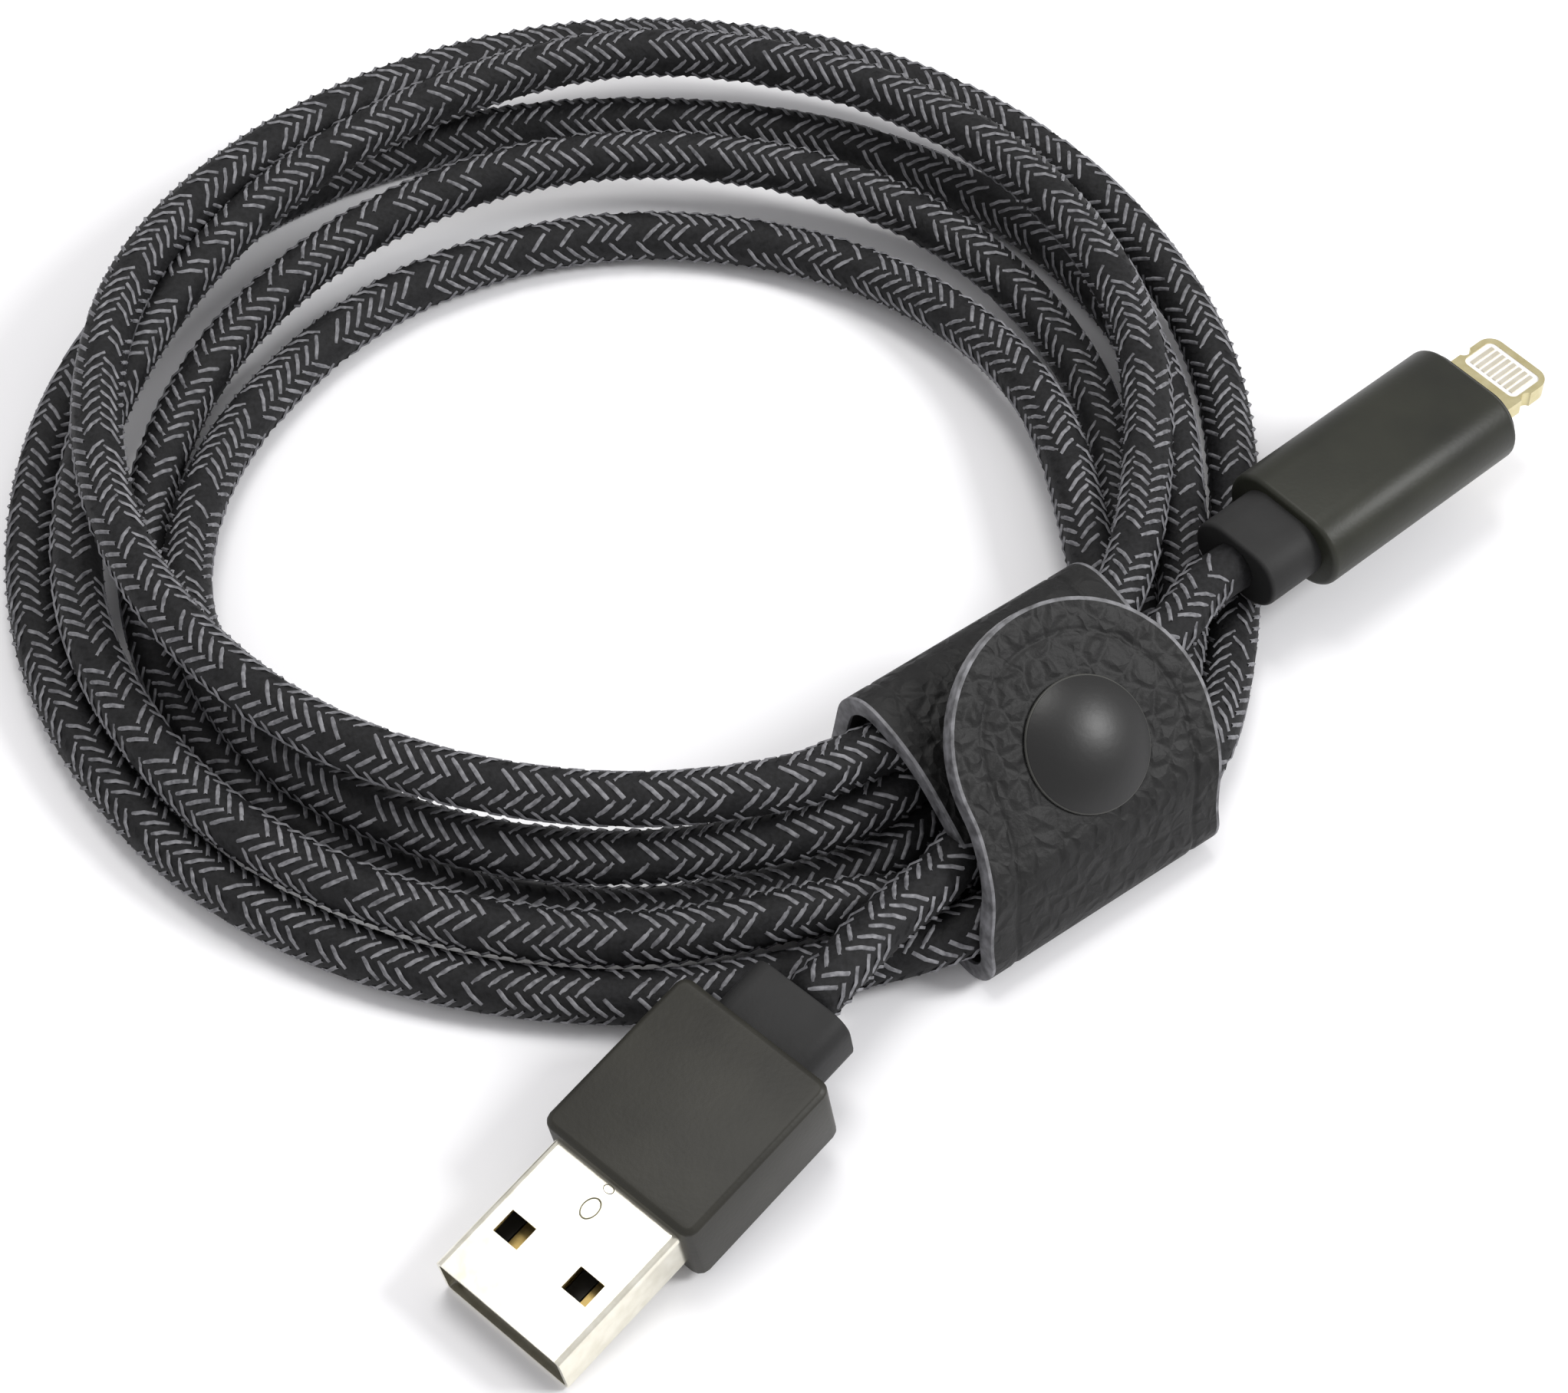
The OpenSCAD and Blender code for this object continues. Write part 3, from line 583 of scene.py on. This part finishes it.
def metal(name, dark, light, roughness, scale=900.0):
    """Plated or rolled metal: a faint drawn grain in its shine."""
    material, surface = shader(name, light, roughness, 1.0)
    place = node(material, "ShaderNodeTexCoord")
    grain = node(material, "ShaderNodeTexNoise", {"Vector": place.outputs["Object"], "Scale": scale, "Detail": 4.0})
    into(material, two_tone(material, grain.outputs["Fac"], dark, light), surface.inputs["Base Color"])
    bump = node(material, "ShaderNodeBump", {"Height": grain.outputs["Fac"], "Strength": 0.15,
                                             "Distance": 0.00004})
    into(material, bump.outputs["Normal"], surface.inputs["Normal"])
    return material


charcoal = moulded("charcoal housing plastic", "#23221d", "#2d2c26", 0.45, 2500.0, 0.25)
body_satin = moulded("satin plug body", "#1f201a", "#282921", 0.42, 2600.0, 0.2)
boot_soft = moulded("soft black strain relief", "#1c1c1c", "#262626", 0.6, 2200.0, 0.35)
collar_black = moulded("black collar", "#151517", "#222224", 0.45, 2200.0, 0.2)
insulator = moulded("dark insulator", "#1d1b17", "#2b2822", 0.5, 2200.0, 0.2)
inner_grey = moulded("inner mould", "#7c7a72", "#8e8c84", 0.6, 2000.0, 0.2)
wire_red = moulded("wire sleeve", "#8f2b22", "#a93c30", 0.4, 2000.0, 0.1)
board_green = moulded("circuit board", "#1c4f33", "#256341", 0.35, 1500.0, 0.2)
shell_metal = metal("plated shell", "#e3dfcf", "#f4f1e4", 0.22)
crimp_metal = metal("crimped clip", "#9f9d96", "#c6c4bc", 0.35)
gold = metal("gilt contact", "#8f7a48", "#b39b62", 0.35)
# the tab's plated metal is tinted tan: a painted reflection of the warm, dark surroundings, not the metal's own colour
tab_metal_painted_reflection = metal("plated tab, painted warm reflection", "#c9be90", "#d8cfa6", 0.32)
# tab contact pads: gilt pads washed out to near white, a painted highlight for the glare on them
pad_gold_painted_highlight = metal("gilt pad, painted highlight", "#e6dfc8", "#f4efe0", 0.28)
contact_face = moulded("pale contact face", "#e4e2e0", "#f2f0ee", 0.3, 1800.0, 0.1)
# darker metal for the shell's press marks: painted shade standing for the dimples' recess
press_mark_painted_shade = metal("pressed mark, painted shade", "#5f5c48", "#8a8770", 0.5)
# the bead round the snap cap's foot: a lighter grey than the cap
snap_rim_bead_grey = moulded("light grey snap rim", "#3a3a38", "#4a4a47", 0.4, 1800.0, 0.2)
snap_steel = metal("snap steel", "#8a8880", "#b0aea6", 0.35)
snap_black = moulded("matte black snap enamel", "#080808", "#0e0e0d", 0.42, 1800.0, 0.2)
snap_black.node_tree.nodes["Principled BSDF"].inputs["Specular IOR Level"].default_value = 0.5

CARRIED = {
    "usb_shell": shell_metal, "usb_tongue": insulator, "usb_contacts": gold, "usb_inner_mould": inner_grey,
    "usb_wires": wire_red, "usb_crimp": crimp_metal, "usb_housing": charcoal, "usb_boot": boot_soft,
    "tab_frame": tab_metal_painted_reflection, "tab_insulator": contact_face, "tab_contacts": pad_gold_painted_highlight,
    "tab_board": board_green, "tab_chip": insulator, "tab_inner_mould": inner_grey, "tab_wires": wire_red,
    "tab_crimp": crimp_metal, "tab_collar": collar_black, "tab_housing": body_satin, "tab_boot": boot_soft,
    "snap_cap": snap_black, "snap_socket": snap_steel, "snap_spring": snap_steel, "snap_stud": snap_steel,
    "snap_post": snap_steel,
}
for name, material in CARRIED.items():
    carried = bpy.data.objects[name]
    carried.data.materials.clear()
    carried.data.materials.append(material)


# ---------------------------------------------------------------- plug bodies
def bar(name, x0, x1, wide, thick):
    """A plain bar along the plug's axis, ready to be shaped."""
    deselect()
    bpy.ops.mesh.primitive_cube_add(size=1, location=mm((x0 + x1) / 2, 0, 0))
    piece = bpy.context.object
    piece.name = piece.data.name = name
    piece.scale = mm(x1 - x0, wide, thick)
    bpy.ops.object.transform_apply(location=True, rotation=True, scale=True)
    return piece


def lengthwise(a, b):
    return abs(a.x - b.x) > 0.001 * MM and abs(a.y - b.y) < 0.001 * MM and abs(a.z - b.z) < 0.001 * MM


def round_lengthwise(piece, radius, steps):
    edit(piece, "EDGE", lengthwise)
    bpy.ops.mesh.bevel(offset=radius * MM, segments=steps, affect="EDGES")
    done()


def usb_housing():
    """The flat grip: chamfered edges, cut corners at the mouth, eased all over."""
    x0, x1 = USB_OUT, USB_OUT + USB_BODY_L
    piece = bar("usb_grip", x0, x1, USB_BODY_W, USB_BODY_T)
    edit(piece, "EDGE", lambda a, b: abs(a.z - b.z) > MM)
    bpy.ops.mesh.bevel(offset=0.9 * MM, segments=3, affect="EDGES")
    done()
    edit(piece, "FACE", lambda c, n: abs(n.z) > 0.9)
    bpy.ops.mesh.inset(thickness=0.4 * MM, depth=0)
    done()
    for v in piece.data.vertices:
        on_rim = abs(abs(v.co.z) - USB_BODY_T / 2 * MM) < 0.001 * MM and not v.select
        if on_rim:
            v.co.z *= (USB_BODY_T / 2 - 0.3) / (USB_BODY_T / 2)
    apply(piece, "BEVEL", width=0.1 * MM, segments=2, limit_method="ANGLE", angle_limit=radians(25))
    smooth(piece, 40)
    settle(piece, usb_axis, "cable", charcoal)
    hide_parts("usb_housing")


def usb_boot():
    """The short strain relief behind the grip, its far end face inset and sunk to leave a ring."""
    x0 = USB_OUT + USB_BODY_L
    piece = bar("usb_strain_relief", x0 - 0.6, x0 + USB_BOOT_L, 9, 5.6)
    round_lengthwise(piece, 1.7, 5)
    edit(piece, "FACE", lambda c, n: n.x > 0.9)
    bpy.ops.mesh.inset(thickness=0.55 * MM, depth=0)
    bpy.ops.mesh.extrude_region_move(TRANSFORM_OT_translate={"value": (-0.35 * MM, 0, 0)})
    done()
    apply(piece, "BEVEL", width=0.3 * MM, segments=3, limit_method="ANGLE", angle_limit=radians(40))
    smooth(piece, 40)
    settle(piece, usb_axis, "cable", boot_soft)
    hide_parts("usb_boot")


def tab_body():
    """The stadium-section body."""
    piece = bar("tab_grip", 0, TAB_BODY_L, TAB_BODY_W, TAB_BODY_T)
    round_lengthwise(piece, TAB_BODY_T / 2 - 0.02, 12)
    apply(piece, "BEVEL", width=0.45 * MM, segments=4, limit_method="ANGLE", angle_limit=radians(50))
    smooth(piece, 40)
    settle(piece, tab_axis, "cable", body_satin)
    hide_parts("tab_housing")


def tab_boot():
    x0 = TAB_BODY_L
    piece = bar("tab_strain_relief", x0 - 0.5, x0 + TAB_BOOT_L, 8.6, 5.4)
    round_lengthwise(piece, 2.68, 10)
    apply(piece, "BEVEL", width=0.35 * MM, segments=3, limit_method="ANGLE", angle_limit=radians(50))
    smooth(piece, 40)
    settle(piece, tab_axis, "cable", boot_soft)
    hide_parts("tab_boot")


def shell_press_marks():
    """The oval press mark and the small hooked mark on top of the steel shell, drawn as rings in darker metal: painted
    shade of the dimples.
    """
    for name, x, long, wide in (("shell_press_mark", 9.7, 0.85, 0.62), ("shell_hook_mark", 11.55, 0.3, 0.42)):
        deselect()
        bpy.ops.mesh.primitive_torus_add(major_radius=1 * MM, minor_radius=0.1 * MM, major_segments=40,
                                         minor_segments=8, location=mm(x, 0.3, 2.22))
        piece = bpy.context.object
        piece.name = piece.data.name = name
        piece.scale = (long, wide, 0.8)
        bpy.ops.object.transform_apply(location=True, rotation=True, scale=True)
        smooth(piece, 60)
        settle(piece, usb_axis, "cable", press_mark_painted_shade)


def snap_dome():
    """The cap: a low smooth dome with a short straight skirt, and the bead that rolls round its foot."""
    across = (E_R * snap_n[0] + UP * snap_n[1]).normalized()
    sideways = across.cross(E_W).normalized()
    place = Matrix.Translation(at_strap(snap_r, snap_z, 1.5)) @ Matrix((E_W, sideways, across)).transposed().to_4x4()
    ball = (CAP_R ** 2 + (CAP_H - 0.3) ** 2) / (2 * (CAP_H - 0.3))
    deselect()
    bpy.ops.mesh.primitive_uv_sphere_add(segments=96, ring_count=128, radius=ball * MM, location=mm(0, 0, CAP_H - ball))
    piece = bpy.context.object
    piece.name = piece.data.name = "snap_dome"
    bpy.ops.object.transform_apply(location=True, rotation=True, scale=True)
    bpy.ops.object.mode_set(mode="EDIT")
    bpy.ops.mesh.select_all(action="SELECT")
    bpy.ops.mesh.bisect(plane_co=mm(0, 0, 0.3), plane_no=(0, 0, 1), clear_inner=True)
    bpy.ops.mesh.extrude_region_move(TRANSFORM_OT_translate={"value": (0, 0, -0.35 * MM)})
    bpy.ops.mesh.edge_face_add()
    done()
    smooth(piece, 50)
    settle(piece, place, "flap", snap_black)
    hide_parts("snap_cap")
    deselect()
    bpy.ops.mesh.primitive_torus_add(major_radius=(CAP_R - 0.08) * MM, minor_radius=0.17 * MM, major_segments=96,
                                     minor_segments=10, location=mm(0, 0, 0.12))
    bead = bpy.context.object
    bead.name = bead.data.name = "snap_dome_bead"
    smooth(bead, 60)
    settle(bead, place, "flap", snap_rim_bead_grey)


usb_housing()
usb_boot()
tab_body()
tab_boot()
shell_press_marks()
snap_dome()

# ---------------------------------------------------------------- table and light
deselect()
bpy.ops.mesh.primitive_plane_add(size=6, location=(0, 0, 0))
table = bpy.context.object
table.name = "table"
paper, surface = shader("white table", "#f6f6f8", 0.8)
table.data.materials.append(paper)

world = bpy.data.worlds.new("studio")
bpy.context.scene.world = world
world.use_nodes = True
world.node_tree.nodes["Background"].inputs["Color"].default_value = (1.0, 0.99, 1.0, 1.0)
world.node_tree.nodes["Background"].inputs["Strength"].default_value = 0.72


def soft_light(name, where, towards, size, power, tint):
    lamp = bpy.data.objects.new(name, bpy.data.lights.new(name, "AREA"))
    lamp.data.shape = "DISK"
    lamp.data.size = size
    lamp.data.energy = power
    lamp.data.color = tint
    lamp.location = where
    lamp.rotation_euler = (Vector(towards) - Vector(where)).to_track_quat("-Z", "Y").to_euler()
    bpy.context.collection.objects.link(lamp)


soft_light("overhead", (-0.05, 0.2, 0.85), (-0.02, 0.02, 0), 0.35, 2.3, (1.0, 0.99, 0.97))
soft_light("side softbox", (0.5, -0.05, 0.46), (-0.01, 0.0, 0), 0.22, 2.6, (1.0, 1.0, 1.0))
